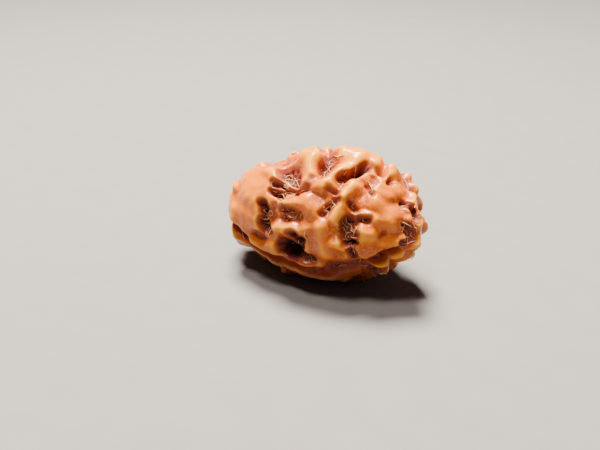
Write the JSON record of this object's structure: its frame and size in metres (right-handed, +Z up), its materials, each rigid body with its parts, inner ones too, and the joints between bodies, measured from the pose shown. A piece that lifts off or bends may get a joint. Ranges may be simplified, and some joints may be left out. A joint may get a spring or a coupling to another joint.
{
  "type": "rudraksha seed",
  "caption": "Rudraksha seed: an oval dried fruit stone with rounded waxy ridges, deep irregular pits and seams from pole to pole, lying on a small flat spot.",
  "frame": {"origin": "middle of the stone's box, on the surface that it rests on", "axes": "+X along the stone's length towards the slightly raised pole, +Z up, -Y towards the face that was modelled by eye"},
  "size_m": [0.022, 0.0134, 0.014],
  "materials": {
    "endocarp": "oiled and softly waxy, orange brown on the ridges and purple brown in the pits"
  },
  "bodies": {
    "root": {"rudraksha_stone": "endocarp"}
  },
  "joints": []
}
